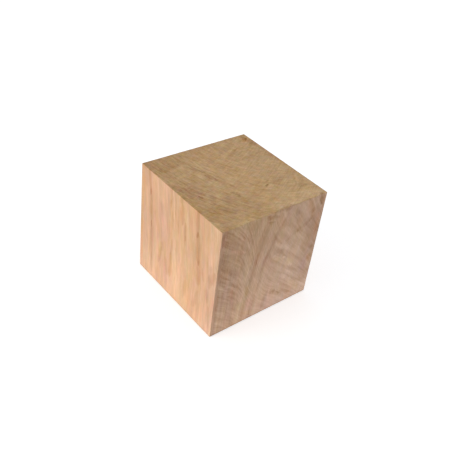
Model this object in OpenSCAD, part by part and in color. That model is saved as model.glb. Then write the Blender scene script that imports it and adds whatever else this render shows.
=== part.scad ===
// Wooden cube: one solid block of oak, sawn and planed square, with every arris eased.
// Millimetres. +Z is up, and the origin is the middle of the face that it rests on.
// The grain runs along Z, so the top face and the underside are end grain.

/* [Block] */
// Length of every edge of the cube, measured across its planed faces
side = 100; // [20:1:200]

/* [Arrises] */
// Radius of the easing along the four edges that follow the grain
long_grain_arris_r = 0.5; // [0.2:0.1:3]
// Radius of the easing along the eight edges round the two end-grain faces
end_grain_arris_r = 0.4; // [0.2:0.1:3]

/* [Hidden] */
wood_color = "#D2A67F";
half_side = side / 2;
$fn = 64;

// The block seen along one axis: a square of the full side, centred on the origin.
// Each rounded corner of the square is one arris seen end on.
module eased_square(arris_r) {
    arris_centre = half_side - arris_r;
    square([side, 2 * arris_centre], center = true);
    square([2 * arris_centre, side], center = true);
    for (x = [-arris_centre, arris_centre], y = [-arris_centre, arris_centre])
        translate([x, y])
            circle(r = arris_r);
}

// That square run the full length of the block along Z, centred on the origin
module eased_bar(arris_r) {
    linear_extrude(height = side, center = true)
        eased_square(arris_r);
}

// Three bars crossing at right angles: each eases the four arrises that run along it.
// Where three arrises meet, their rounds mitre into the small point that hand planing leaves.
module wooden_cube() {
    color(wood_color)
        translate([0, 0, half_side])
            intersection() {
                eased_bar(long_grain_arris_r);
                rotate([90, 0, 0])
                    eased_bar(end_grain_arris_r);
                rotate([0, 90, 0])
                    eased_bar(end_grain_arris_r);
            }
}

wooden_cube();
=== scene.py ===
"""Wooden cube: a planed oak block on a pale studio floor.

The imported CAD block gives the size. This script replaces it with a mesh of the same size whose
eased edges, torn grain and small check are modelled, and fills it with solid oak: growth rings,
rays, pores and fibres are worked out from each point's place in the wood, so they run on from
face to face. Camera, lights and floor are in metres. Inside the wood, lengths are millimetres,
with x and y from the middle of the block and z from its base. The photo shows the left face
(-x), the front face (-y) and the top.
"""

import math

import bpy
import numpy as np
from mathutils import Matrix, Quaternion, Vector
from mathutils.noise import noise as perlin


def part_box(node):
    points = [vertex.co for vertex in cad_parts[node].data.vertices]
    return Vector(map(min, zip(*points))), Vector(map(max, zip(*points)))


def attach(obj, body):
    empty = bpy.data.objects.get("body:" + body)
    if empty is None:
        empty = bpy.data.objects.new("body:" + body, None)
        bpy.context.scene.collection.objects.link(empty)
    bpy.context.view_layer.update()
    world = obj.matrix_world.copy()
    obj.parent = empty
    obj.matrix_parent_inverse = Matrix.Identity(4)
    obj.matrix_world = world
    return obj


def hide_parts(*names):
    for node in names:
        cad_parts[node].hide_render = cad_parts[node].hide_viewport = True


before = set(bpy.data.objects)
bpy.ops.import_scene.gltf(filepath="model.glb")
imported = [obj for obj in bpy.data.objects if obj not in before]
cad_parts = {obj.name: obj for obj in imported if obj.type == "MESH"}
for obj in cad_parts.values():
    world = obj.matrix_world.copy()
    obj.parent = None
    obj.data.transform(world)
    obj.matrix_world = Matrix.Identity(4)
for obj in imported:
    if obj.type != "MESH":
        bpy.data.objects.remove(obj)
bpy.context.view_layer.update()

MM = 0.001
NODE = "wooden_cube"
low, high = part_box(NODE)
SIDE = (high.z - low.z) / MM
HALF = SIDE / 2


# ------------------------------------------------------------------ camera, lights and floor

# The photo's camera: where it stands, what it looks at, its roll in degrees and its lens
CAMERA_PLACE = (-0.2666, -0.2909, 0.3464)
CAMERA_AIM = (0.00128, -0.00799, 0.05)
CAMERA_ROLL = 8.05
LENS_MM = 47.16
SENSOR_MM = 36

# A warm soft box on the left
KEY_PLACE = (-1.2, 0.35, 0.3)
KEY_SIZE = 0.8
KEY_POWER = 9.0
KEY_COLOR = (1.0, 0.91, 0.83)
# Even light from all round, and the white that the camera sees there instead
SKY_STRENGTH = 0.665
SKY_COLOR = (0.97, 0.99, 1.02)
BACKDROP_WHITE = 1.0
# Low cards that throw light up the sides, as a white table top does
CARD_SIZE = (0.12, 0.058)
CARD_GAP = 0.0295
CARD_LEVEL = 0.0005
CARD_POWER = 0.0124
FLOOR_REACH = 30.0
FLOOR_CORNERS = ((-1, -1), (1, -1), (1, 1), (-1, 1))
FLOOR_WHITE = 0.8
FLOOR_GLOW = 0.50
# Just clear of the block, so that the two never share a plane
FLOOR_LEVEL = -0.0001


def link(thing):
    bpy.context.scene.collection.objects.link(thing)
    return thing


def place_camera():
    data = bpy.data.cameras.new("camera")
    data.lens = LENS_MM
    data.sensor_width = SENSOR_MM
    camera = link(bpy.data.objects.new("camera", data))
    view = Vector(CAMERA_AIM) - Vector(CAMERA_PLACE)
    roll = Quaternion((0, 0, 1), math.radians(CAMERA_ROLL))
    camera.rotation_euler = (view.to_track_quat("-Z", "Y") @ roll).to_euler()
    camera.location = CAMERA_PLACE
    bpy.context.scene.camera = camera


def softbox(name, place, facing, size, power, color):
    data = bpy.data.lights.new(name, "AREA")
    data.shape = "RECTANGLE"
    data.size, data.size_y = size
    data.energy = power
    data.color = color
    lamp = link(bpy.data.objects.new(name, data))
    lamp.location = place
    lamp.rotation_euler = Vector(facing).to_track_quat("-Z", "Y").to_euler()
    lamp.visible_camera = False


def light_sky():
    world = bpy.data.worlds.new("studio")
    bpy.context.scene.world = world
    world.use_nodes = True
    nodes, links = world.node_tree.nodes, world.node_tree.links
    sky = nodes["Background"]
    sky.inputs["Color"].default_value = (*SKY_COLOR, 1)
    sky.inputs["Strength"].default_value = SKY_STRENGTH
    white = nodes.new("ShaderNodeBackground")
    white.inputs["Color"].default_value = (1, 1, 1, 1)
    white.inputs["Strength"].default_value = BACKDROP_WHITE
    ray = nodes.new("ShaderNodeLightPath")
    pick = nodes.new("ShaderNodeMixShader")
    links.new(ray.outputs["Is Camera Ray"], pick.inputs["Fac"])
    links.new(sky.outputs["Background"], pick.inputs[1])
    links.new(white.outputs["Background"], pick.inputs[2])
    links.new(pick.outputs["Shader"], nodes["World Output"].inputs["Surface"])


def light_studio():
    to_middle = Vector((0, 0, HALF * MM)) - Vector(KEY_PLACE)
    softbox("key", KEY_PLACE, to_middle, (KEY_SIZE, KEY_SIZE), KEY_POWER, KEY_COLOR)
    reach = HALF * MM + CARD_GAP
    long, short = CARD_SIZE
    for x, y, size in ((reach, 0, (short, long)), (-reach, 0, (short, long)),
                       (0, reach, (long, short)), (0, -reach, (long, short))):
        softbox("card", (x, y, CARD_LEVEL), (0, 0, 1), size, CARD_POWER, SKY_COLOR)
    light_sky()


def white_paper():
    material = bpy.data.materials.new("white_paper")
    material.use_nodes = True
    nodes, links = material.node_tree.nodes, material.node_tree.links
    nodes.clear()
    paper = nodes.new("ShaderNodeBsdfDiffuse")
    paper.inputs["Color"].default_value = (FLOOR_WHITE, FLOOR_WHITE, FLOOR_WHITE, 1)
    # Only the camera sees the glow, so the floor is white and the block gets no light from it
    ray = nodes.new("ShaderNodeLightPath")
    strength = nodes.new("ShaderNodeMath")
    strength.operation = "MULTIPLY"
    strength.inputs[1].default_value = FLOOR_GLOW
    glow = nodes.new("ShaderNodeEmission")
    both = nodes.new("ShaderNodeAddShader")
    out = nodes.new("ShaderNodeOutputMaterial")
    links.new(ray.outputs["Is Camera Ray"], strength.inputs[0])
    links.new(strength.outputs[0], glow.inputs["Strength"])
    links.new(paper.outputs[0], both.inputs[0])
    links.new(glow.outputs[0], both.inputs[1])
    links.new(both.outputs[0], out.inputs["Surface"])
    return material


def lay_floor():
    mesh = bpy.data.meshes.new("floor")
    corners = [(x * FLOOR_REACH, y * FLOOR_REACH, FLOOR_LEVEL) for x, y in FLOOR_CORNERS]
    mesh.from_pydata(corners, [], [range(len(corners))])
    mesh.materials.append(white_paper())
    floor = link(bpy.data.objects.new("floor", mesh))


# ------------------------------------------------------------------ fields in the wood


class Field:
    """A number that the shader works out at each point. Arithmetic on it adds Math nodes."""

    def __init__(self, tree, socket):
        self.tree = tree
        self.socket = socket

    def feed(self, slot, value):
        if isinstance(value, Field):
            self.tree.links.new(value.socket, slot)
        else:
            slot.default_value = value

    def math(self, operation, *others):
        node = self.tree.nodes.new("ShaderNodeMath")
        node.operation = operation
        for slot, value in zip(node.inputs, (self, *others)):
            self.feed(slot, value)
        return Field(self.tree, node.outputs[0])

    def __add__(self, other):
        return self.math("ADD", other)

    def __sub__(self, other):
        return self.math("SUBTRACT", other)

    def __mul__(self, other):
        return self.math("MULTIPLY", other)

    def __truediv__(self, other):
        return self.math("DIVIDE", other)

    def __pow__(self, other):
        return self.math("POWER", other)

    def __rsub__(self, other):
        return self * -1 + other

    __radd__ = __add__
    __rmul__ = __mul__

    def step(self, start, end, low=0.0, high=1.0):
        """low up to start, a smooth climb, and high from end on; start may be past end."""
        if start > end:
            start, end, low, high = end, start, high, low
        node = self.tree.nodes.new("ShaderNodeMapRange")
        node.interpolation_type = "SMOOTHSTEP"
        node.clamp = False
        for name, value in (("From Min", start), ("From Max", end), ("To Min", low), ("To Max", high)):
            node.inputs[name].default_value = value
        self.feed(node.inputs["Value"], self)
        return Field(self.tree, node.outputs["Result"])


def split(tree, vector):
    """The three channels of a vector as fields."""
    node = tree.nodes.new("ShaderNodeSeparateXYZ")
    tree.links.new(vector, node.inputs[0])
    return [Field(tree, socket) for socket in node.outputs]


def join(*fields):
    """The vector that has these three fields as its channels."""
    tree = fields[0].tree
    node = tree.nodes.new("ShaderNodeCombineXYZ")
    for slot, field in zip(node.inputs, fields):
        field.feed(slot, field)
    return node.outputs[0]


def vector_math(tree, operation, *values):
    """The node's first output: a vector, or a number for DISTANCE."""
    node = tree.nodes.new("ShaderNodeVectorMath")
    node.operation = operation
    for slot, value in zip(node.inputs, values):
        if isinstance(value, tuple):
            slot.default_value = value
        else:
            tree.links.new(value, slot)
    return node.outputs["Value" if operation == "DISTANCE" else "Vector"]


def noise_node(tree, vector, scale, detail, roughness):
    node = tree.nodes.new("ShaderNodeTexNoise")
    node.inputs["Scale"].default_value = scale
    node.inputs["Detail"].default_value = detail
    node.inputs["Roughness"].default_value = roughness
    tree.links.new(vector, node.inputs["Vector"])
    return node


def noise(places, texture):
    """Smooth noise with a mean of 0 and a range of about -1 to 1. The texture says how large its
    lumps are along each of the three places in millimetres, how much detail they have and how
    rough it is."""
    sizes, detail, roughness = texture
    vector = join(*(place / size for place, size in zip(places, sizes)))
    tree = places[0].tree
    node = noise_node(tree, vector, 1.0, detail, roughness)
    return Field(tree, node.outputs["Fac"]) * 2.0 - 1.0


def blend_colors(amount, first, second):
    """The color first where amount is 0 and second where it is 1."""
    tree = amount.tree
    node = tree.nodes.new("ShaderNodeMix")
    node.data_type = "RGBA"
    slots = {slot.identifier: slot for slot in node.inputs}
    tree.links.new(amount.socket, slots["Factor_Float"])
    for name, color in (("A_Color", first), ("B_Color", second)):
        if isinstance(color, tuple):
            slots[name].default_value = (*color, 1)
        else:
            tree.links.new(color, slots[name])
    return next(slot for slot in node.outputs if slot.identifier == "Result_Color")


# ------------------------------------------------------------------ how the tree grew

# The pith lies to the right of the block, and leans and bends towards the back on its way up
PITH_X = 198.0
PITH_Y = 47.0
PITH_LEAN = 1.25
PITH_BEND = 7.7
# How much nearer to the pith a ring lies at the right-hand side of the block: at any height, and in
# proportion to the height and to its square
FLARE_ACROSS = 22.0
FLARE_UP = 12.7
FLARE_BEND = 7.4
# Share of the last two that is gone at the back
FLARE_FADE = 0.85
# The rays run to the right and, more and more steeply, to the back
RAY_SLOPE = 0.22
RAY_CURVE = 0.0022
# Lean of the thin ray sheets for each millimetre of height: everywhere, and what is added just
# inside the left-hand edge and again across the middle, by distance from that edge. What is added
# slackens with height and fades towards the back. The sheets also wander by up to a millimetre.
SHEET_LEAN = 0.03
SHEET_LEAN_AT_EDGE = (0, 3, 0.0, 0.30)
SHEET_LEAN_IN_MIDDLE = (20, 58, 0.0, 0.34)
SHEET_SLACKENS = 260
SHEET_LEAN_FADE = (-HALF, 10, 1.0, 0.0)
SHEET_WANDER_MM = 1.1
# How far the fibres lean to the right at the top of the right-hand side, in proportion to the height
# and to its square, and how far they sway
FIBRE_LEAN = 5
FIBRE_BEND = 8
FIBRE_SWAY = 1.5
SWAY = (22, 22, 30), 2, 0.5


def pith_y(z):
    up = z / SIDE
    return up * PITH_LEAN + up * up * PITH_BEND + PITH_Y


def ring_radius(x, y, z):
    """Distance from the pith plus the flare of the trunk. Works on fields and on plain numbers."""
    up = z / SIDE
    across = (x + HALF) / SIDE
    off_x = x - PITH_X
    off_y = y - pith_y(z)
    circle = (off_x * off_x + off_y * off_y) ** 0.5
    flare = (up * FLARE_UP + up * up * FLARE_BEND) * (1 - (y + HALF) * (FLARE_FADE / SIDE))
    return circle + flare * across + across * across * FLARE_ACROSS


def ray_offset(x, y, z):
    """Place round the ring, which stays the same along one sheet of ray tissue."""
    from_left = x + HALF
    return y - pith_y(z) - from_left * RAY_SLOPE - from_left * from_left * RAY_CURVE


def ray_sheet(x, y, z):
    """The same for the thin sheets of ray tissue, which lean further to the back and the left."""
    from_left = x + HALF
    lean = from_left.step(*SHEET_LEAN_AT_EDGE) + from_left.step(*SHEET_LEAN_IN_MIDDLE)
    climb = (z - z * z / SHEET_SLACKENS) * y.step(*SHEET_LEAN_FADE)
    return ray_offset(x, y, z) - lean * climb - z * SHEET_LEAN


def across_fibres(x, y, z):
    """Two places that stay the same along a fibre, which leans with the trunk."""
    up = z / SIDE
    across = (x + HALF) / SIDE
    sway = noise((x, y, z), SWAY) * FIBRE_SWAY
    return x - (up * FIBRE_LEAN + up * up * FIBRE_BEND) * across + sway, y - pith_y(z) + sway


# Bands round the tree: radius where each one begins, how dark it is (pale below 0), and how many
# millimetres further out it has faded
YEARS = (
    (165.0, 0.4, 3.0),
    (172.5, 0.5, 3.2),
    (179.5, 0.4, 3.0),
    (186.0, 0.5, 3.0),
    (193.0, 0.5, 3.0),
    (200.5, 0.4, 3.5),
    (207.5, 0.3, 3.0),
    (214.3, 0.6, 2.6),
    (220.5, 0.3, 2.5),
    (225.4, 0.25, 2.4),
    (229.4, -0.2, 2.2),
    (231.2, -0.3, 1.8),
    (233.6, 0.65, 3.0),
    (237.2, -0.3, 2.2),
    (240.2, 0.65, 3.0),
    (243.8, -0.6, 4.4),
    (249.4, 0.2, 2.4),
    (253.2, 0.1, 1.8),
    (256.6, 0.1, 2.0),
    (259.9, 0.2, 1.8),
    (264.0, 0.1, 2.0),
)


def left(y, z):
    return (-HALF, y, z)


def front(x, z):
    return (x, -HALF, z)


def top(x, y):
    return (x, y, SIDE)


def right(y, z):
    return (HALF, y, z)


def back(x, z):
    return (x, HALF, z)


def under(x, y):
    return (x, y, 0.0)


# Damage: start, end, half width in millimetres, tone, and how deep the wood is torn there. The dark tone
# is partly the torn wood's own colour and partly painted shade in the hollows of the tears, checks and
# pits.
SCARS = (
    # ragged grain along the top edge of the front face
    (front(-10, 99), front(-4, 95), 2.2, -0.24, 0.40),
    (front(-4, 97), front(3, 94), 1.2, -0.20, 0.40),
    (front(-9, 93), front(-1, 91), 0.9, -0.18, 0.30),
    (front(4, 100), front(14, 98), 2.4, -0.26, 0.45),
    (front(-2, 100), front(5, 99), 1.2, -0.16, 0.30),
    # broken fibres at the right-hand top corner of the front face
    (front(45, 103), front(46.5, 90), 3.3, -0.48, 0.50),
    (front(47.5, 91), front(48.5, 84), 1.6, -0.20, 0.25),
    # a short check in the end grain, and a shallow one behind it
    (top(13.5, -20.4), top(17.5, -19.6), 0.9, -0.40, 0.60),
    (top(17.5, -16.2), top(20.5, -15.8), 1.2, -0.28, 0.20),
    # crushed pores and small pits in the end grain
    (top(-38.5, -7), top(-37.5, -11), 1.4, -0.30, 0.15),
    (top(42, 39), top(49, 44.5), 0.8, -0.26, 0.20),
)

# Marks in the wood: start, end, half width in millimetres, and tone (dark below 0, pale above)
MARKS = (
    # left face: the dark lines near the back edge
    (left(39.5, 104), left(36, 79), 2.5, -0.22),
    (left(36.5, 86), left(34, 50), 2.3, -0.18),
    (left(34.5, 56), left(32, 4), 2.7, -0.24),
    (left(32.8, 26), left(32, 16), 1.6, -0.10),
    (left(48.5, 62), left(47, 2), 1.3, -0.12),
    # left face: the dark line that ends half way down
    (left(-22.5, 106), left(-24.3, 78), 2.8, -0.21),
    (left(-24.8, 84), left(-28.2, 56), 4.0, -0.26),
    (left(-28, 60), left(-31, 40), 3.4, -0.09),
    (left(-28, 54), left(-30, 38), 4.0, -0.09),
    # left face: the pale grain in the middle, and the brown line beside it
    (left(8, 104), left(5, 76), 1.9, 0.22),
    (left(5, 82), left(2, 46), 2.6, 0.10),
    (left(1, 48), left(-3, 4), 8.0, 0.10),
    (left(5.5, 58), left(6, 42), 1.6, -0.12),
    (left(6.5, 44), left(6, 18), 2.8, -0.26),
    # left face: thin dark lines
    (left(9.5, 91), left(9.3, 84), 0.9, -0.18),
    (left(7, 100), left(6, 64), 0.8, -0.12),
    (left(3.5, 96), left(2.5, 58), 0.8, -0.10),
    (left(-0.5, 92), left(-1.5, 62), 0.8, -0.10),
    (left(14, 96), left(12.5, 60), 0.8, -0.08),
    (left(12, 30), left(9.5, 4), 0.8, -0.08),
    (left(-8, 30), left(-10, 2), 0.8, -0.09),
    (left(-19, 36), left(-20, 4), 0.8, -0.08),
    # left face: short dark dashes right of the middle, and pale strips beside them
    (left(-3, 102), left(-3.5, 95), 3.0, -0.20),
    (left(-4.5, 95), left(-6, 78), 3.4, -0.18),
    (left(-9.5, 82), left(-10.5, 66), 2.4, -0.20),
    (left(-11, 94), left(-14, 60), 2.6, 0.09),
    (left(-18, 66), left(-23, 38), 1.8, 0.12),
    (left(-10.5, 71), left(-11, 62), 2.4, -0.11),
    (left(-14, 42), left(-14.5, 32), 3.4, -0.08),
    (left(-5, 66), left(-6, 40), 3.0, 0.07),
    # left face: flames and spindles lower down
    (left(18, 46), left(18.5, 36), 2.6, -0.14),
    (left(19, 40), left(22.5, 23), 2.8, -0.13),
    (left(13.5, 34), left(9, 18), 2.6, -0.12),
    (left(-15, 32), left(-12, 10), 3.0, -0.12),
    (left(-30, 32), left(-27, 14), 2.6, -0.15),
    (left(-33, 57), left(-36, 46), 2.2, -0.11),
    (left(-48, 62), left(-45, 50), 3.6, -0.17),
    (left(-42, 57), left(-43, 45), 3.0, -0.14),
    (left(-40.5, 42), left(-42.5, 30), 3.0, -0.12),
    (left(-44, 28), left(-47.5, 2), 2.6, -0.12),
    # left face: broad changes from dark to pale
    (left(43, 86), left(41, 30), 4.0, 0.05),
    (left(-42, 106), left(-42, 66), 9.0, 0.15),
    (left(-42, 54), left(-44, 26), 7.0, -0.05),
    (left(20, 104), left(20, 84), 10.0, 0.15),
    (left(21, 36), left(18, 22), 8.0, -0.06),
    (left(44, 14), left(38, 4), 10.0, -0.10),
    (left(46, 104), left(43, 86), 9.0, -0.13),
    (left(2, 12), left(-2, -4), 8.0, -0.05),
    # front face: silver flecks that run down to the right, and dark wood between them
    (front(3, 69), front(19, 59), 2.6, 0.18),
    (front(4, 58), front(17, 50), 2.6, 0.16),
    (front(15, 52), front(27, 38), 3.0, 0.22),
    (front(6, 63), front(22, 52), 1.7, -0.08),
    (front(17, 34), front(30, 22), 3.4, 0.11),
    (front(26, 26), front(48, 5), 1.9, 0.12),
    (front(6, 62), front(17, 52), 2.4, -0.06),
    (front(15, 44), front(50, 9), 1.8, -0.09),
    (front(16, 36), front(45, 11), 1.3, -0.15),
    (front(20, 37), front(41, 17), 1.3, 0.14),
    (front(28, 23), front(47, 5), 1.3, -0.14),
    (front(24, 31), front(46, 9), 1.2, 0.12),
    (front(34, 34), front(48, 20), 1.3, -0.10),
    (front(14, 26), front(46, 0), 1.8, -0.13),
    (front(12, 28), front(18, 24.5), 2.4, -0.10),
    (front(2, 50), front(14, 46), 3.0, 0.05),
    # front face: an arch near the foot, pale inside and to its right
    (front(7.5, 19), front(12, 17), 3.2, -0.26),
    (front(10, 18), front(19, 13.5), 2.2, -0.17),
    (front(16, 14.5), front(31, 7.5), 2.8, -0.20),
    (front(4.5, 22), front(0.5, 3), 2.8, -0.15),
    (front(6, 14), front(10, 1), 3.0, 0.10),
    (front(16, 9), front(22, 4), 2.0, 0.10),
    (front(29, 31), front(38, 20), 3.2, 0.10),
    (front(27, 21.5), front(38, 12), 3.0, 0.08),
    # front face: cloudy patches high up on the right
    (front(9, 83), front(20, 75), 4.6, 0.10),
    (front(25, 97), front(29, 88), 2.6, 0.08),
    (front(19.5, 94.5), front(23.5, 88.5), 2.6, -0.16),
    (front(23, 75), front(31, 71.5), 3.8, -0.14),
    (front(14, 67.5), front(27, 73.5), 2.4, -0.13),
    (front(24, 72.5), front(39, 80), 2.4, -0.14),
    (front(31, 101), front(39, 86), 2.3, -0.16),
    (front(36.5, 89.5), front(40, 85.5), 2.6, -0.17),
    # front face: dark spots down the right-hand side
    (front(38, 83), front(46, 62), 5.0, -0.15),
    (front(43, 51), front(46, 48), 2.4, -0.14),
    (front(44, 41), front(46, 37), 2.2, -0.14),
    (front(44, 19), front(47, 15), 2.0, -0.10),
    # front face: dark and pale wood round the torn grain at the top
    (front(10, 91), front(7, 85), 2.4, -0.12),
    (front(5, 84), front(11, 82.5), 2.8, -0.13),
    (front(1, 80), front(3, 73), 3.4, -0.12),
    (front(9.5, 97), front(5.5, 86), 2.4, 0.14),
    (front(11, 100), front(42, 99.6), 1.5, -0.10),
    # front face: dark wood along the left-hand edge
    (front(-48.4, 98), front(-48.2, 86), 1.7, -0.20),
    (front(-48.4, 78), front(-48.2, 52), 1.7, -0.16),
    (front(-46, 78), front(-45.4, 63), 2.0, -0.08),
    (front(-48, 106), front(-44, 50), 6.0, -0.08),
    (front(-44, 99), front(-46, 86), 5.0, -0.10),
    # front face: thin upright lines beside it
    (front(-47, 56), front(-47.2, 4), 1.2, -0.07),
    (front(-44.5, 64), front(-44.5, 0), 1.3, 0.06),
    (front(-42.4, 50), front(-42.4, -2), 1.2, -0.06),
    (front(-40, 46), front(-40, -2), 1.2, 0.04),
    (front(-37, 60), front(-37, -2), 1.3, -0.08),
    (front(-33, 60), front(-33, 10), 3.0, -0.02),
    # front face: short streaks left of the middle
    (front(-38.5, 60.5), front(-37, 57), 2.0, -0.07),
    (front(-12.5, 10), front(-12, 3), 1.4, -0.16),
    (front(-40, 80), front(-25, 72), 1.6, 0.10),
    (front(-12.5, 67), front(-13.5, 55), 1.7, -0.10),
    (front(-34.5, 45), front(-32, 27), 2.4, -0.08),
    (front(-36, 101), front(-18, 100), 4.0, 0.07),
    # front face: dark and pale wood along the growth bands
    (front(-28, 86), front(-22, 70), 2.8, 0.09),
    (front(-16, 90), front(-21.5, 66), 3.4, 0.08),
    (front(-21.5, 72), front(-24, 42), 3.6, 0.09),
    (front(-23.5, 46), front(-27.5, -2), 5.0, 0.08),
    (front(-24.5, 29), front(-25, 21), 2.6, -0.09),
    (front(-25.5, 12), front(-26.5, 4), 2.6, -0.09),
    (front(4, 86), front(-5, 60), 2.6, 0.12),
    (front(-12.6, 66), front(-16.6, 38), 2.4, -0.07),
    (front(-4, 97), front(-9, 76), 2.0, 0.09),
    (front(-2.5, 66), front(-6, 52), 2.0, -0.09),
    (front(-4, 50), front(-8, 36), 2.4, 0.08),
    (front(-8.4, 42), front(-11, 2), 2.4, 0.09),
    # front face: broad changes from dark to pale
    (front(28, 69), front(32, 50), 10.0, 0.07),
    (front(42, 90), front(42, 12), 13.0, -0.11),
    (front(48, 72), front(48, 36), 5.0, -0.08),
    (front(20, 76), front(22, 30), 12.0, 0.10),
    (front(-46, 16), front(-32, 2), 12.0, 0.05),
    (front(-4, 10), front(30, 0), 10.0, -0.05),
    (front(-34, 98), front(44, 96), 14.0, -0.14),
    # top face: the dark band that follows a ring, and the pale wood beside it
    (top(-24, 44), top(-19.5, 22), 2.4, -0.16),
    (top(-20, 26), top(-14, 3), 2.5, -0.24),
    (top(-15, 6), top(-8, -11), 2.6, -0.12),
    (top(-23.5, 20), top(-20, 0), 2.2, 0.10),
    # top face: dark pores in clusters along the left-hand side, and pale wood between them
    (top(-44, 35), top(-40, 31), 4.4, -0.22),
    (top(-33, 34.5), top(-28, 34), 4.4, -0.20),
    (top(-44, 4), top(-36, -4), 9.0, -0.08),
    (top(-46, 4), top(-44.5, -5), 1.6, -0.05),
    (top(-42.5, 8), top(-40, -5), 1.6, -0.13),
    (top(-38.5, 8), top(-35.5, -6), 1.6, -0.13),
    (top(-35, -4), top(-33.5, -10), 1.5, -0.20),
    (top(-36, -18), top(-34, -22), 2.2, -0.12),
    (top(-34, -27), top(-28, -36), 4.0, -0.10),
    (top(-25.5, -21), top(-24, -31), 1.4, -0.15),
    (top(-44, -19), top(-42, -22), 2.0, 0.14),
    (top(-47, 16), top(-44, 12), 2.6, 0.10),
    (top(-35.5, -8), top(-35, -14), 1.4, 0.12),
    # top face: dark strokes in the middle and on the right
    (top(2.5, 20.5), top(7.5, 11.5), 1.4, -0.26),
    (top(-2, 33), top(1, 28), 2.6, -0.08),
    (top(16, 17), top(42, 20), 2.4, -0.11),
    (top(-20, -15), top(-12, -16), 1.8, -0.15),
    (top(-14, -22.5), top(-10.5, -19.5), 1.7, -0.18),
    (top(-17.5, 14), top(-16, 10), 1.8, -0.14),
    (top(-25, 0), top(-22, -2.5), 2.2, -0.10),
    (top(5, -20), top(9, -26), 3.6, -0.13),
    (top(-18, -37), top(0, -40), 4.0, -0.13),
    (top(22, -45), top(37, -33.5), 2.2, -0.10),
    (top(36, -34), top(46, -28), 2.4, -0.10),
    (top(37, -34), top(43.5, -34.5), 1.3, -0.18),
    (top(10, 24), top(30, 34), 2.6, -0.10),
    (top(29, -20), top(33, -16), 1.4, -0.10),
    (top(36, -30), top(44.5, -17), 1.6, -0.12),
    (top(23, 31), top(25.5, 34), 2.8, -0.10),
    (top(24, 44), top(32, 32), 2.0, -0.08),
    # top face: pale strokes between them
    (top(-15.5, -20), top(-14.5, -25), 1.4, 0.10),
    (top(16.5, -22.5), top(20.5, -21.5), 1.5, 0.18),
    (top(34, -43), top(43, -40), 4.0, 0.10),
    (top(-28, -47), top(-22, -47), 3.2, 0.05),
    (top(7, 46), top(11, 30), 3.5, 0.07),
    (top(-4, 22), top(24, 34), 1.4, 0.10),
    (top(-7, 20), top(-5.5, 18), 1.8, 0.14),
    (top(-8, 2), top(4, -4), 4.0, 0.05),
    (top(14, 30), top(46, 42), 2.2, 0.10),
    (top(30, -24), top(34, -20), 1.6, 0.13),
    (top(38, -30), top(46, -18), 1.6, 0.12),
    (top(33, 43), top(39, 45), 3.0, 0.10),
    # top face: darker wood in the far corner and along the right-hand edge
    (top(44.5, 48), top(47, 30), 3.0, -0.22),
    (top(40, 39.5), top(47, 44.5), 2.0, -0.26),
    (top(42.5, 31), top(44.5, 35), 2.4, -0.16),
    (top(47, 30), top(48.5, -6), 1.7, -0.11),
    # top face: broad changes from dark to pale
    (top(-36, -50), top(46, -49), 18.0, 0.20),
    (top(-23, 4), top(-19, -6), 9.0, 0.06),
    (top(-44, 49), top(16, 47), 14.0, -0.12),
    (top(-46, 42), top(-36, 34), 10.0, -0.10),
    (top(-6, 38), top(-2, 16), 9.0, -0.09),
    (top(24, 38), top(40, -6), 12.0, 0.09),
    (top(40, -44), top(-4, -44), 9.0, 0.05),
    # right face, which the photo hides: plain streaks like those of the left face
    (right(-38, 104), right(-34, 52), 2.4, -0.15),
    (right(-35, 60), right(-31, -2), 2.6, -0.17),
    (right(-18, 104), right(-14, 66), 3.0, 0.10),
    (right(-12, 58), right(-8, 20), 2.8, -0.15),
    (right(-9, 28), right(-7, -4), 2.2, -0.13),
    (right(6, 104), right(8, 72), 2.4, -0.15),
    (right(9, 80), right(12, 44), 3.4, -0.12),
    (right(21, 60), right(22, 6), 7.0, 0.09),
    (right(31, 102), right(30, 70), 2.2, 0.10),
    (right(36, 64), right(37, 22), 2.6, -0.18),
    (right(36.5, 30), right(39, -4), 2.2, -0.12),
    (right(1, 34), right(-3, 18), 2.6, -0.13),
    # back face and underside, also hidden
    (back(-31, 104), back(-30, 38), 3.0, -0.12),
    (back(-8, 72), back(-9, 8), 2.6, -0.12),
    (back(14, 104), back(12, 60), 3.0, 0.09),
    (back(30, 88), back(27, 30), 2.6, -0.12),
    (back(-22, 48), back(-20, 6), 5.0, 0.08),
    (under(-22, 18), under(-12, -26), 3.0, -0.14),
    (under(14, 34), under(22, 14), 3.0, -0.10),
)
# Marks narrower than this stray less from their places than the broad ones do
FINE_MARK = 1.5

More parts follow.
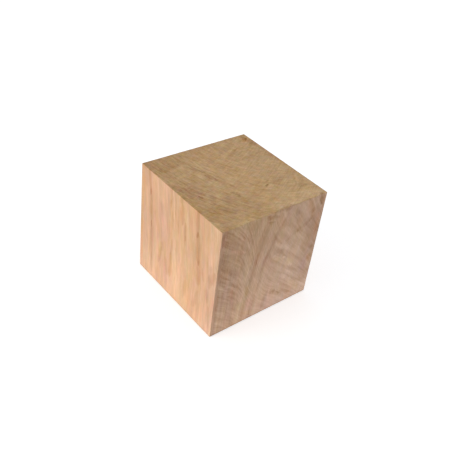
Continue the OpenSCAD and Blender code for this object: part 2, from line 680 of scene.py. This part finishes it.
# Hue of the wood: start, end, half width in millimetres, and how golden and how rosy it is there
TINTS = (
    # left face
    (left(47, 104), left(46.5, 4), 1.7, 0.5, 0.25),
    (left(-20, 112), left(-20, -12), 28.0, 0.22, 0.0),
    (left(0, 112), left(-2, -12), 12.0, 0.16, 0.0),
    (left(24, 84), left(14, 50), 9.0, -0.30, 0.10),
    (left(10, 96), left(6, 50), 2.2, 0.40, 0.05),
    (left(-5, 50), left(-8, 24), 6.0, -0.25, 0.15),
    (left(15, 26), left(10, 8), 6.0, -0.20, 0.18),
    (left(-4, 94), left(-3, 80), 3.0, 0.10, 0.30),
    (left(-14, 80), left(-18, 64), 6.0, 0.30, -0.16),
    (left(-16, 54), left(-20, 34), 6.0, 0.30, -0.16),
    (left(20, 44), left(22, 28), 4.0, 0.50, -0.10),
    (left(44, 56), left(24, 46), 12.0, -0.30, 0.0),
    (left(-14, 54), left(-18, 44), 9.0, -0.25, 0.0),
    (left(6.5, 42), left(6, 18), 3.6, 0.45, 0.15),
    (left(-15, 34), left(-18, 10), 4.0, 0.35, 0.20),
    (left(-26, 42), left(-29, 34), 4.0, -0.40, 0.10),
    # front face
    (front(-49, 98), front(-48, 50), 4.0, -0.30, 0.15),
    (front(-40, 101), front(-16, 99), 8.0, 0.20, -0.12),
    (front(-50, -6), front(-34, 58), 20.0, -0.28, -0.04),
    (front(30, 76), front(34, 50), 13.0, 0.20, 0.0),
    (front(-26, 96), front(6, 93), 12.0, 0.18, 0.05),
    (front(6, 92), front(8, 82), 3.0, 0.20, 0.20),
    (front(45, 84), front(47, 56), 3.2, 0.30, 0.50),
    (front(34, 78), front(40, 66), 6.0, -0.35, 0.05),
    (front(7, 79), front(12, 73), 3.4, 0.20, -0.35),
    (front(-12.5, 67), front(-13.5, 53), 2.6, 0.0, 0.35),
    (front(-34.5, 45), front(-32, 27), 3.0, 0.0, 0.30),
    (front(-24, 10), front(24, 4), 11.0, -0.22, 0.0),
    (front(-25, 22), front(-23.5, 16), 4.0, 0.35, -0.35),
    (front(-19, 38), front(-17.5, 26), 3.0, 0.35, 0.10),
    (front(-18, 9), front(-6, 4), 3.0, 0.45, 0.0),
    (front(-16, 22), front(-13, 14), 4.0, -0.05, 0.35),
    (front(16, 56), front(26, 42), 10.0, 0.20, 0.0),
    (front(31, 99), front(42, 80), 4.0, 0.25, 0.25),
    (front(3, 55), front(12, 50), 3.6, 0.45, 0.05),
    (front(21, 47), front(27, 41), 3.4, 0.45, -0.30),
    (front(28, 21), front(40, 8), 4.0, 0.30, 0.05),
    (front(35, 40), front(43, 28), 6.0, -0.30, 0.10),
    (front(43, 43), front(46.5, 35), 3.0, 0.30, 0.40),
    (front(-40, 80), front(-25, 72), 2.6, 0.0, 0.35),
    (front(-10, 60), front(2, 52), 6.0, -0.15, 0.15),
    # top face
    (top(0, 52), top(6, -40), 20.0, 0.16, 0.14),
    (top(40, 38), top(47, 44), 3.4, 0.50, 0.50),
    (top(33, 43), top(39, 45), 3.4, -0.30, -0.30),
    (top(23, 31), top(25.5, 34), 3.0, 0.35, 0.0),
    (top(30, 12), top(44, 10), 5.0, -0.30, -0.20),
    (top(49.5, 40), top(49.5, -8), 1.5, 0.10, 0.40),
    (top(-40, 6), top(-38, -8), 6.0, -0.20, 0.10),
)


# ------------------------------------------------------------------ what the oak is mixed from

# Colors of the outer rings, of the inner ones, which are greyer, and of the end grain, more yellow
OUTER_WOOD = (0.588, 0.368, 0.2205)
INNER_WOOD = (0.586, 0.367, 0.2455)
END_GRAIN = (0.558, 0.352, 0.173)
# How much each channel follows the tone: dark wood is also the more saturated wood
TONE_BY_CHANNEL = (0.74, 1.02, 1.34)
GOLDEN_BY_CHANNEL = (0.02, 0.02, -0.26)
ROSY_BY_CHANNEL = (0.13, -0.05, 0.0)
NO_TINT = (1.0, 1.0, 1.0)

# Textures: size of the lumps in three directions in millimetres, detail and roughness. These
# follow x, y and z:
WANDER = (9, 9, 34), 3, 0.5
SHEET_WANDER = (15, 15, 15), 2, 0.5
BREAKS = (8, 8, 16), 3, 0.65
SILK = (20, 20, 34), 4, 0.6
PATCHES = (30, 30, 22), 2, 0.5
# Across the fibre in two directions, and up the block
GRAIN = (4, 4, 40), 5, 0.75
FIBRES = (0.5, 0.5, 14), 2, 0.6
PORES = (0.34, 0.34, 5), 1, 0.5
HOLES = (0.45, 0.45, 6), 1, 0.5
GOLDEN = (4, 4, 22), 4, 0.7
# Across the fibre one way, up the block, and across the fibre the other way
ROSY = (4, 20, 4), 4, 0.7
# Out from the pith, round it and up the block
YEAR_LINES = (0.9, 50, 70), 2, 0.6
MOTTLE = (1.4, 9, 9), 4, 0.75
CROSSING = (9, 1.6, 9), 4, 0.7
# From one ray sheet to the next, out from the pith and up the block
RAY_LINES = (0.95, 17, 17), 3, 0.65
RAY_FLECKS = (2.4, 20, 20), 4, 0.6

# Changes from place to place, as Field.step takes them. By how far a face looks to one side:
FACE_TURN = (0.5, 0.8)
# By distance from the left-hand edge
WANDER_ACROSS = (0, 14, 0.08, 0.5)
RAY_LINES_ACROSS = (14, 70, 0.63, 0.18)
RAY_FLECKS_ACROSS = (30, 75, 0.0, 0.48)
CALM_FROM = (42, 55)
CALM_UP_TO = (82, 98, 1.0, 0.2)
MOTTLE_ACROSS = (30, 80, 0.70, 0.50)
CROSSING_ACROSS = (30, 80, 0.24, 0.45)
# By x or y, towards the edges of the block
IN_FRONT = (-HALF, -HALF / 2, 1.0, 0.0)
TOWARDS_BACK = (0, HALF, 0.0, 0.6)
AT_RIGHT_SIDE = (HALF - 2, HALF)
# Painted shade: where the dark line along the far edges of the top begins and ends, and how dark it is
FAR_EDGE_PAINTED_SHADE = (HALF - 1.4, HALF - 0.4, 0.0, -0.18)
# By height
RAY_LINES_UP = (15, 55, 0.88, 1.08)
CLOUDY_FROM = (72, 86)
# By distance from the pith
COLOR_OF_AGE = (205, 250)
# Darker far from the pith: partly the outer wood's own colour, partly painted shade that darkens the
# left-hand side of the front face and of the top in place of a gradient of light
DARK_OUTER_WOOD_AND_SHADE = (236, 247, 0.0, -0.10)
PALE_WOOD_FROM = (194, 204)
PALE_WOOD_UP_TO = (222, 234, 0.07, 0.0)
BANDS_SHOW_FROM = (212, 232, 0.2, 1.0)
INNER_BANDS = (208, 235, 1.0, 0.0)
# By the strength of a texture
PATCH_EDGE = (-0.15, 0.35)
PORE_EDGE = (0.25, 0.5)
HOLE_EDGE = (0.3, 0.6)
RAY_END_TONE = (0.12, 0.5, 0.0, -0.09)

# How much the bands vary along their length, what share of them the cloudy part hides, and how far
# the right-hand side counts as one of the far sides, which show them plainly
BREAK_STRENGTH = 1.3
CLOUDY_HIDES = 0.8
FAR_SIDE_SHARE = 0.7
# Tone that each thing adds to the sides, dark below 0: everywhere, and more or less where a share is 1
BAND_TONE = -0.21
BAND_LINES_SHOW = {"everywhere": -0.04, "far_side": -0.08}
YEAR_LINES_SHOW = {"everywhere": 0.15, "flat_sawn": -0.07, "calm": -0.10, "cloudy": -0.03}
GRAIN_SHOWS = {"everywhere": 0.16, "flat_sawn": 0.18, "right_side": 0.14, "calm": -0.09}
FIBRES_SHOW = {"everywhere": 0.27, "calm": -0.10}
PORES_SHOW = {"everywhere": -0.063, "band": -0.09}
SILK_SHOWS = {"everywhere": 0.08, "flat_sawn": 0.10}
RAY_LINES_IN_SILK = 1.4
RAY_PALENESS = 0.012
# Painted light: the two flat-sawn sides are paler all over, a painted sheen that brightens the left face
FLAT_SAWN_PAINTED_SHEEN = 0.175
# The same for the end grain
END_BAND_TONE = -0.05
END_GRAIN_SHOWS = 0.20
END_FIBRES_SHOW = 0.30
HOLES_SHOW = {"everywhere": -0.054, "band": -0.18}
END_SILK_SHOWS = 0.16
# Hue, for the golden and the rosy field
GOLDEN_SHOWS = {"everywhere": 0.85, "flat_sawn": 0.39, "end_grain": 0.96}
ROSY_SHOWS = {"everywhere": 0.85, "flat_sawn": 0.54, "end_grain": 0.80}
FLAT_SAWN_GOLDEN = 0.10
FLAT_SAWN_ROSY = 0.24

# Surface: roughness, and the height of each texture before the bump
ROUGHNESS_SHOWS = {"everywhere": 0.55, "end_grain": 0.15}
FIBRE_ROUGHNESS = 0.05
SPECULAR_LEVEL = 0.3
FIBRE_HEIGHT = 0.5
HOLE_HEIGHT = -1.5
MOTTLE_HEIGHT = 0.6
BUMP_STRENGTH = 0.5
BUMP_MM = 0.05


# ------------------------------------------------------------------ the oak

# Marks stray from their places, with a noise that is drawn out along the trunk: the broad ones
# this far in each direction, and the fine ones less
STRAY_STRETCH = (1, 1, 0.3)
STRAY_SCALE = 0.55
STRAY_DETAIL = 4
STRAY_ROUGHNESS = 0.7
NO_STRAY = (0.5, 0.5, 0.5)
BROAD_STRAY = (2.6, 2.6, 7.0)
FINE_STRAY = (1.2, 1.2, 3.0)
# Their outline is soft: the fall starts before the line itself, so the peak is set a little higher
SOFT_REACH = 1.15
SOFT_START = 0.5
SOFT_PEAK = 1.35


def stray_points(tree, point):
    """The point as the broad marks see it, and as the fine ones do."""
    stretched = vector_math(tree, "MULTIPLY", point, STRAY_STRETCH)
    noise_color = noise_node(tree, stretched, STRAY_SCALE, STRAY_DETAIL, STRAY_ROUGHNESS).outputs["Color"]
    stray = vector_math(tree, "SUBTRACT", noise_color, NO_STRAY)
    return [vector_math(tree, "MULTIPLY_ADD", stray, reach, point) for reach in (BROAD_STRAY, FINE_STRAY)]


def spindle(point, start, end, reach):
    """Strong where the point is on the line from start to end, and softly 0 just beyond reach of it."""
    tree = point.id_data
    to_start = Field(tree, vector_math(tree, "DISTANCE", point, start))
    to_end = Field(tree, vector_math(tree, "DISTANCE", point, end))
    length = math.dist(start, end)
    detour = math.hypot(length, 2 * reach * SOFT_REACH) - length
    return (to_start + to_end).step(length - detour * SOFT_START, length + detour, SOFT_PEAK, 0.0)


# How a band rises where it begins, and where it starts to fade. A thin line marks its beginning.
BAND_RISE = (-1.0, 0.6)
BAND_FALL_FROM = 0.3
LINE_RISE = (-0.1, 0.02)
LINE_FALL = (0.02, 0.2, 1.0, 0.0)


def growth_bands(radius):
    """How dark the bands are at each point, and how dark the lines are where they begin."""
    band = line = 0.0
    for start, darkness, fade in YEARS:
        grown = radius - start
        band = grown.step(*BAND_RISE) * grown.step(BAND_FALL_FROM, fade, 1.0, 0.0) * darkness + band
        line = grown.step(*LINE_RISE) * grown.step(*LINE_FALL) * darkness + line
    return band, line


class Wood:
    """The oak at each point of the block: its place in the trunk, its textures, and shares, which
    are up to 1 where their name holds and 0 elsewhere."""

    def __init__(self, tree):
        self.tree = tree
        coordinates = tree.nodes.new("ShaderNodeTexCoord")
        point = vector_math(tree, "MULTIPLY", coordinates.outputs["Object"], (1 / MM, 1 / MM, 1 / MM))
        self.place = split(tree, point)
        x, y, z = self.place
        facing_x, _, facing_z = split(tree, coordinates.outputs["Normal"])

        # Places in the trunk, each in three directions, that the textures follow
        self.from_left = x + HALF
        wander = noise(self.place, WANDER) * self.from_left.step(*WANDER_ACROSS)
        self.radius = ring_radius(x, y, z) + wander
        self.round_pith = (self.radius, ray_offset(x, y, z), z)
        sheet = ray_sheet(x, y, z) + noise(self.place, SHEET_WANDER) * SHEET_WANDER_MM
        self.through_rays = (sheet, self.radius, z)
        self.along_fibre = (*across_fibres(x, y, z), z)

        self.band, self.band_line = growth_bands(self.radius)
        self.grain = noise(self.along_fibre, GRAIN)
        self.fibre = noise(self.along_fibre, FIBRES)
        self.pore = noise(self.along_fibre, PORES).step(*PORE_EDGE)
        self.silk = noise(self.place, SILK)
        self.mottle = noise(self.round_pith, MOTTLE)
        self.hole = noise(self.along_fibre, HOLES).step(*HOLE_EDGE)

        self.end_grain = facing_z.math("ABSOLUTE").step(*FACE_TURN)
        self.flat_sawn = facing_x.math("ABSOLUTE").step(*FACE_TURN)
        self.right_side = x.step(*AT_RIGHT_SIDE) * self.flat_sawn
        self.far_side = self.right_side * FAR_SIDE_SHARE + y.step(*TOWARDS_BACK)
        self.in_front = y.step(*IN_FRONT)
        # The rays of the front face are calm on its right, and its bands are cloudy above that
        calm = self.from_left.step(*CALM_FROM) * self.from_left.step(*CALM_UP_TO)
        self.calm = self.in_front * (1 - self.flat_sawn) * calm
        self.cloudy = self.calm * z.step(*CLOUDY_FROM)

        self.broad_point, self.fine_point = stray_points(tree, point)

    def strength(self, everywhere, **changes):
        """A number that is this much everywhere, and changes by so much where a share is 1."""
        for share, change in changes.items():
            everywhere = getattr(self, share) * change + everywhere
        return everywhere

    def band_tone(self):
        """The front face shows its inner bands faintly; the two far sides show them plainly."""
        breaks = noise(self.place, BREAKS) * BREAK_STRENGTH + 1.0
        lines = self.band_line * self.strength(**BAND_LINES_SHOW)
        shown = self.radius.step(*BANDS_SHOW_FROM) + self.far_side * self.radius.step(*INNER_BANDS)
        return (self.band * BAND_TONE + lines) * breaks * shown * (1 - self.cloudy * CLOUDY_HIDES)

    def ray_tone(self):
        """Fine ray lines on the left of the quarter-sawn faces, and flecks further to the right."""
        lines = noise(self.through_rays, RAY_LINES)
        flecks = noise(self.through_rays, RAY_FLECKS) * self.from_left.step(*RAY_FLECKS_ACROSS)
        _, _, z = self.place
        strength = self.from_left.step(*RAY_LINES_ACROSS) * z.step(*RAY_LINES_UP)
        quarter_sawn = lines * strength * (self.silk * RAY_LINES_IN_SILK + 1.0) + flecks + RAY_PALENESS
        patches = noise(self.place, PATCHES).step(*PATCH_EDGE)
        shown = (self.in_front + patches * (1 - self.in_front)) * (1 - self.flat_sawn)
        # Cut across, the rays of a flat-sawn side end in short dark dashes
        return quarter_sawn * shown + lines.step(*RAY_END_TONE) * self.flat_sawn

    def side_tone(self):
        return (
            self.band_tone()
            + noise(self.round_pith, YEAR_LINES) * self.strength(**YEAR_LINES_SHOW)
            + self.grain * self.strength(**GRAIN_SHOWS)
            + self.fibre * self.strength(**FIBRES_SHOW)
            + self.pore * self.strength(**PORES_SHOW)
            + self.ray_tone()
            + self.silk * self.strength(**SILK_SHOWS)
            # painted sheen: the flat-sawn sides paler all over
            + self.flat_sawn * FLAT_SAWN_PAINTED_SHEEN
        )

    def end_tone(self):
        x, y, _ = self.place
        return (
            self.band * END_BAND_TONE
            + self.mottle * self.from_left.step(*MOTTLE_ACROSS)
            + noise(self.round_pith, CROSSING) * self.from_left.step(*CROSSING_ACROSS)
            + self.grain * END_GRAIN_SHOWS
            + self.fibre * END_FIBRES_SHOW
            + self.hole * self.strength(**HOLES_SHOW)
            + self.silk * END_SILK_SHOWS
            # Painted shade: the two far edges of the top are darkened, as their eased arrises look in
            # shade
            + x.step(*FAR_EDGE_PAINTED_SHADE)
            + y.step(*FAR_EDGE_PAINTED_SHADE)
        )

    def age_and_shade_tone(self):
        # The dark outer wood is partly painted shade on the left-hand side of the front face and of the
        # top
        pale = self.radius.step(*PALE_WOOD_FROM) * self.radius.step(*PALE_WOOD_UP_TO)
        return self.radius.step(*DARK_OUTER_WOOD_AND_SHADE) + pale

    def mark_tone(self):
        """The marks and scars, which the grain runs through."""
        marks = 0.0
        for start, end, reach, tone in MARKS:
            point = self.fine_point if reach < FINE_MARK else self.broad_point
            marks = spindle(point, start, end, reach) * tone + marks
        # The scars' dark tone is partly painted shade in their hollows
        for start, end, reach, tone, _ in SCARS:
            marks = spindle(self.fine_point, start, end, reach) * tone + marks
        return marks * (self.grain + 1.0)

    def tone(self):
        """How pale the wood is."""
        sides = self.side_tone()
        faces = sides + (self.end_tone() - sides) * self.end_grain
        return faces + self.mark_tone() + self.age_and_shade_tone()

    def hues(self):
        """How golden and how rosy the wood is."""
        fibre_x, fibre_y, z = self.along_fibre
        golden = noise(self.along_fibre, GOLDEN) * self.strength(**GOLDEN_SHOWS)
        golden = golden + self.flat_sawn * FLAT_SAWN_GOLDEN
        rosy = noise((fibre_y, z, fibre_x), ROSY) * self.strength(**ROSY_SHOWS)
        rosy = rosy + self.flat_sawn * FLAT_SAWN_ROSY
        for start, end, reach, golden_there, rosy_there in TINTS:
            share = spindle(self.broad_point, start, end, reach)
            golden = share * golden_there + golden
            rosy = share * rosy_there + rosy
        return golden, rosy

    def color(self):
        tone = self.tone()
        golden, rosy = self.hues()
        base = blend_colors(self.radius.step(*COLOR_OF_AGE), INNER_WOOD, OUTER_WOOD)
        base = blend_colors(self.end_grain, base, END_GRAIN)
        tint = NO_TINT
        for field, by_channel in (
            (tone, TONE_BY_CHANNEL), (golden, GOLDEN_BY_CHANNEL), (rosy, ROSY_BY_CHANNEL)
        ):
            tint = vector_math(self.tree, "MULTIPLY_ADD", join(field, field, field), by_channel, tint)
        return vector_math(self.tree, "MULTIPLY", base, tint)

    def bump(self):
        """The normal of a surface where pores are pits, and the fibres between them stand up."""
        on_ends = (self.hole * HOLE_HEIGHT + self.mottle * MOTTLE_HEIGHT) * self.end_grain
        height = self.fibre * FIBRE_HEIGHT - self.pore * (1 - self.end_grain) + on_ends
        node = self.tree.nodes.new("ShaderNodeBump")
        node.inputs["Strength"].default_value = BUMP_STRENGTH
        node.inputs["Distance"].default_value = BUMP_MM * MM
        self.tree.links.new(height.socket, node.inputs["Height"])
        return node.outputs["Normal"]


def oak():
    material = bpy.data.materials.new("oak")
    material.use_nodes = True
    tree = material.node_tree
    shader = tree.nodes["Principled BSDF"]
    shader.inputs["Specular IOR Level"].default_value = SPECULAR_LEVEL
    wood = Wood(tree)
    roughness = wood.fibre * FIBRE_ROUGHNESS + wood.strength(**ROUGHNESS_SHOWS)
    tree.links.new(wood.color(), shader.inputs["Base Color"])
    tree.links.new(roughness.socket, shader.inputs["Roughness"])
    tree.links.new(wood.bump(), shader.inputs["Normal"])
    return material


# ------------------------------------------------------------------ the shape of the block

# Radius of the eased edges, and how much it changes along them, in waves and half as much in ripples
ARRIS = 0.45
ARRIS_CHANGE = 0.13
ARRIS_WAVE = 11
ARRIS_RIPPLE = 2.5
# Mesh lines: close together from the edge inwards, then one every GRID_STEP
EDGE_LINES = (0, 0.12, 0.25, 0.38, 0.5, 0.65, 0.85, 1.1, 1.5, 2.0)
GRID_STEP = 1.3
# Start, end and step of the stretches with finer lines, measured from the low corner of the block
FINE_X = ((41, 72, 0.5), (92, 98, 0.5))
FINE_Y = ((28.4, 30.6, 0.18), (30.6, 34, 0.5))
FINE_Z = ((88, 98, 0.5),)
# The texture map has a column of tiles for each axis, and a row for each end of it. This share of
# its tile is left free along the border of each face.
UV_COLUMNS = 3
UV_ROWS = 2
UV_MARGIN = 0.01
# The corners of each grid cell, in turn
HERE, NEXT = slice(None, -1), slice(1, None)
QUAD_TURN = ((HERE, HERE), (NEXT, HERE), (NEXT, NEXT), (HERE, NEXT))
# Size of the lumps in torn wood, how far they move its outline, and how it deepens from there
TORN_LUMPS = (0.9, 2.3)
TORN_RAGGEDNESS = 0.5
TORN_EDGE = (0.1, 0.8)
# Latewood stands this far above the softer first wood of each year, which sinks over this stretch
YEAR_RELIEF = 0.035
YEAR_SINKS = (-0.3, 0.3)


def smooth_share(value, start, end):
    """0 up to start, a smooth climb, and 1 from end on."""
    share = np.clip((value - start) / (end - start), 0.0, 1.0)
    return share * share * (3 - 2 * share)


def lumps(points, size):
    """Smooth noise at each point, about -1 to 1, with lumps of this size."""
    return np.array([perlin(Vector(point)) for point in points / size])


def grid_lines(fine_stretches):
    inner = []
    place = EDGE_LINES[-1] + GRID_STEP
    while place < SIDE - EDGE_LINES[-1] - GRID_STEP / 2:
        inner.append(place)
        steps = [step for start, end, step in fine_stretches if start <= place < end]
        place += steps[0] if steps else GRID_STEP
    return np.array([*EDGE_LINES, *inner, *(SIDE - line for line in reversed(EDGE_LINES))])


def torn_depth(points):
    """How far the surface lies below the planed block at each point, in millimetres."""
    depth = np.zeros(len(points))
    rough = sum(lumps(points, size) / len(TORN_LUMPS) for size in TORN_LUMPS) * TORN_RAGGEDNESS
    for start, end, reach, _, deepest in SCARS:
        round_trip = np.linalg.norm(points - start, axis=1) + np.linalg.norm(points - end, axis=1)
        length = math.dist(start, end)
        core = 1 - smooth_share(round_trip, length, math.hypot(length, 2 * reach))
        depth = np.maximum(depth, deepest * smooth_share(core + rough * (core > 0), *TORN_EDGE))
    return depth


def year_depth(points):
    """How far the first wood of the darker years lies below the rest, in millimetres."""
    radius = ring_radius(*points.T)
    depth = np.zeros(len(points))
    for start, darkness, fade in YEARS:
        grown = radius - start
        if darkness > 0:
            unfaded = 1 - smooth_share(grown, BAND_FALL_FROM, fade)
            depth += smooth_share(grown, *YEAR_SINKS) * unfaded * YEAR_RELIEF
    return depth


def ease_edges(points):
    """Rounds the block's edges, then sinks the torn places and the soft wood below its faces."""
    waves = lumps(points, ARRIS_WAVE) + lumps(points, ARRIS_RIPPLE) / 2
    radius = (ARRIS + ARRIS_CHANGE * waves)[:, None]
    lowest = np.array([-HALF, -HALF, 0])
    inner = np.clip(points, lowest + radius, lowest + SIDE - radius)
    outward = points - inner
    outward /= np.linalg.norm(outward, axis=1)[:, None]
    return inner + outward * (radius - (torn_depth(points) + year_depth(points))[:, None])


def skin_of_grid(lines):
    """The grid points on the skin of the block, and a grid with the number of each of them."""
    counts = [len(line) for line in lines]
    skin = np.ones(counts, dtype=bool)
    skin[1:-1, 1:-1, 1:-1] = False
    number = np.full(counts, -1)
    number[skin] = np.arange(skin.sum())
    points = np.stack(np.meshgrid(*lines, indexing="ij"), axis=-1)[skin]
    return points + (-HALF, -HALF, 0), number


def face_cells(lines, number, axis, far):
    """The corners of each cell on one face of the block, and their places on the texture map."""
    first, second = [other for other in range(3) if other != axis]
    across, along = np.meshgrid(lines[first] / SIDE, lines[second] / SIDE, indexing="ij")
    outward = far != (axis == 1)
    if outward:
        along = 1 - along
    u = (axis + UV_MARGIN + (1 - 2 * UV_MARGIN) * along) / UV_COLUMNS
    v = (int(far) + UV_MARGIN + (1 - 2 * UV_MARGIN) * across) / UV_ROWS
    sheet = number.take(-1 if far else 0, axis=axis)
    place = np.stack([u, v], axis=-1)
    turn = QUAD_TURN if outward else QUAD_TURN[::-1]
    quads = np.stack([sheet[corner] for corner in turn], axis=-1).reshape(-1, 4)
    places = np.stack([place[corner] for corner in turn], axis=2).reshape(-1, 2)
    return quads, places


def carve_block():
    lines = [grid_lines(stretches) for stretches in (FINE_X, FINE_Y, FINE_Z)]
    points, number = skin_of_grid(lines)
    faces = [face_cells(lines, number, axis, far) for axis in range(3) for far in (False, True)]
    quads, places = [np.concatenate(parts) for parts in zip(*faces)]

    mesh = bpy.data.meshes.new("oak_block")
    mesh.from_pydata((ease_edges(points) * MM).tolist(), [], quads.tolist())
    mesh.uv_layers.new(name="OFBake").data.foreach_set("uv", places.ravel())
    mesh.shade_smooth()
    mesh.materials.append(oak())
    block = link(bpy.data.objects.new("oak_block", mesh))
    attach(block, "root")
    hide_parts(NODE)


# ------------------------------------------------------------------ the scene

place_camera()
light_studio()
lay_floor()
bpy.context.scene.view_settings.view_transform = "Standard"
carve_block()
